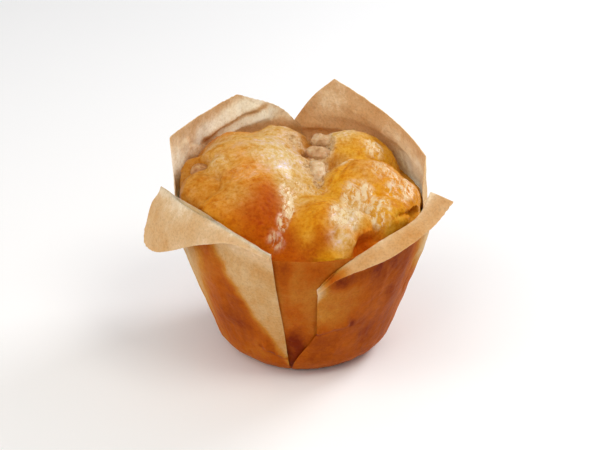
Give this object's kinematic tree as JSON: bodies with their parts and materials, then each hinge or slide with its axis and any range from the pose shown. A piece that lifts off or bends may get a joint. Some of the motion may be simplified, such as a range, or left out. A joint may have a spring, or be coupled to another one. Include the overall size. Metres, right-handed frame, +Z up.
{
  "type": "muffin",
  "caption": "Baked fruit muffin with a lumpy glazed top, held in a folded wrapper of brown baking paper whose petals stand up or fold outwards.",
  "frame": {"origin": "middle of the round base, on the surface that the muffin stands on", "axes": "+Z up; -Y towards the front, where the two petals that fold outwards meet; +X to the right as seen from the front"},
  "size_m": [0.0984, 0.088, 0.0784],
  "materials": {
    "crust": "glossy golden crust with browned patches",
    "fruit": "moist baked fruit",
    "baking_paper": "matt brown baking paper with darker greasy patches"
  },
  "bodies": {
    "root": {"muffin": "crust", "fruit_chunk_front": "fruit", "fruit_chunk_middle": "fruit", "fruit_chunk_back": "fruit", "fruit_chunk_left": "fruit", "paper_case": "baking_paper"}
  },
  "joints": []
}
